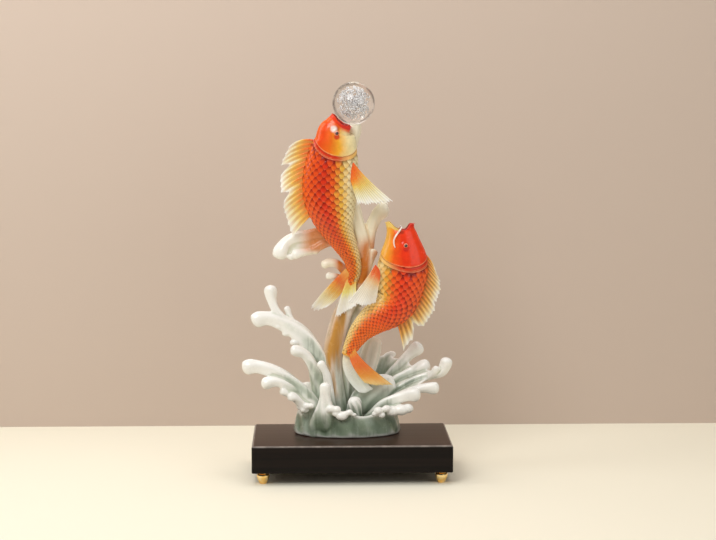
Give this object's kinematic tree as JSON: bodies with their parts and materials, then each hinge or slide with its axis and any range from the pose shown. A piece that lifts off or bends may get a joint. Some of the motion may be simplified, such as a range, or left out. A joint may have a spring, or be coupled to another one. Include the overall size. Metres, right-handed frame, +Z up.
{
  "type": "fish figurine",
  "caption": "Tabletop figurine of leaping carp above a splash of water, with a loose crystal ball on top and a low dark plinth on bun feet.",
  "frame": {"origin": "on the surface the figurine stands on, under the middle of the plinth", "axes": "+Z up, +X to the viewer's right, +Y away from the viewer"},
  "size_m": [0.253, 0.135, 0.4631],
  "materials": {
    "plinth_lacquer": "dark brown satin lacquer with lighter rubbed edges",
    "foot_metal": "polished gold-coloured metal",
    "steel": "bright plated, hidden inside",
    "crystal": "clear polished crystal with a cloud of fine bubbles",
    "eye": "glossy black bead",
    "carp_paint": "glossy painted resin, red to orange to gold with outlined scales",
    "fin_paint": "glossy painted resin, orange-red roots fading to cream",
    "water_paint": "glazed-looking pale celadon resin with white crests"
  },
  "bodies": {
    "figure": {"ball_seat": "water_paint", "base_screws": "steel", "carp_pins": "steel", "carp_support": "water_paint", "column_dowel": "steel", "column_lower": "water_paint", "column_upper": "water_paint", "foam_front": "water_paint", "foam_left": "water_paint", "foam_middle": "water_paint", "foam_right": "water_paint", "foot_front_left": "foot_metal", "foot_front_right": "foot_metal", "foot_rear_left": "foot_metal", "foot_rear_right": "foot_metal", "foot_screws": "steel", "lower_carp_barbels": "fin_paint", "lower_carp_body": "carp_paint", "lower_carp_dorsal_fin": "fin_paint", "lower_carp_eyes": "eye", "lower_carp_far_pectoral_fin": "fin_paint", "lower_carp_near_pectoral_fin": "fin_paint", "lower_carp_tail_fin_far": "fin_paint", "lower_carp_tail_fin_near": "fin_paint", "plinth": "plinth_lacquer", "splash_back": "water_paint", "splash_front": "water_paint", "splash_high_left": "water_paint", "splash_inner_prong": "water_paint", "splash_low_left": "water_paint", "splash_rear_left": "water_paint", "splash_right_curl": "water_paint", "splash_right_far": "water_paint", "splash_right_front": "water_paint", "splash_right_high": "water_paint", "splash_right_middle": "water_paint", "splash_right_short": "water_paint", "splash_upper_curl": "water_paint", "splash_upper_left": "water_paint", "splash_upper_right": "water_paint", "splash_upper_small": "water_paint", "upper_carp_body": "carp_paint", "upper_carp_dorsal_fin": "fin_paint", "upper_carp_eyes": "eye", "upper_carp_far_pectoral_fin": "fin_paint", "upper_carp_near_pectoral_fin": "fin_paint", "upper_carp_tail_fin_far": "fin_paint", "upper_carp_tail_fin_near": "fin_paint", "wave_base": "water_paint"},
    "ball": {"crystal_ball": "crystal"}
  },
  "joints": [
    {"name": "ball_lift", "type": "slide", "parent": "figure", "child": "ball", "axis": [0, 0, 1], "range_m": [0, 0.06]}
  ]
}
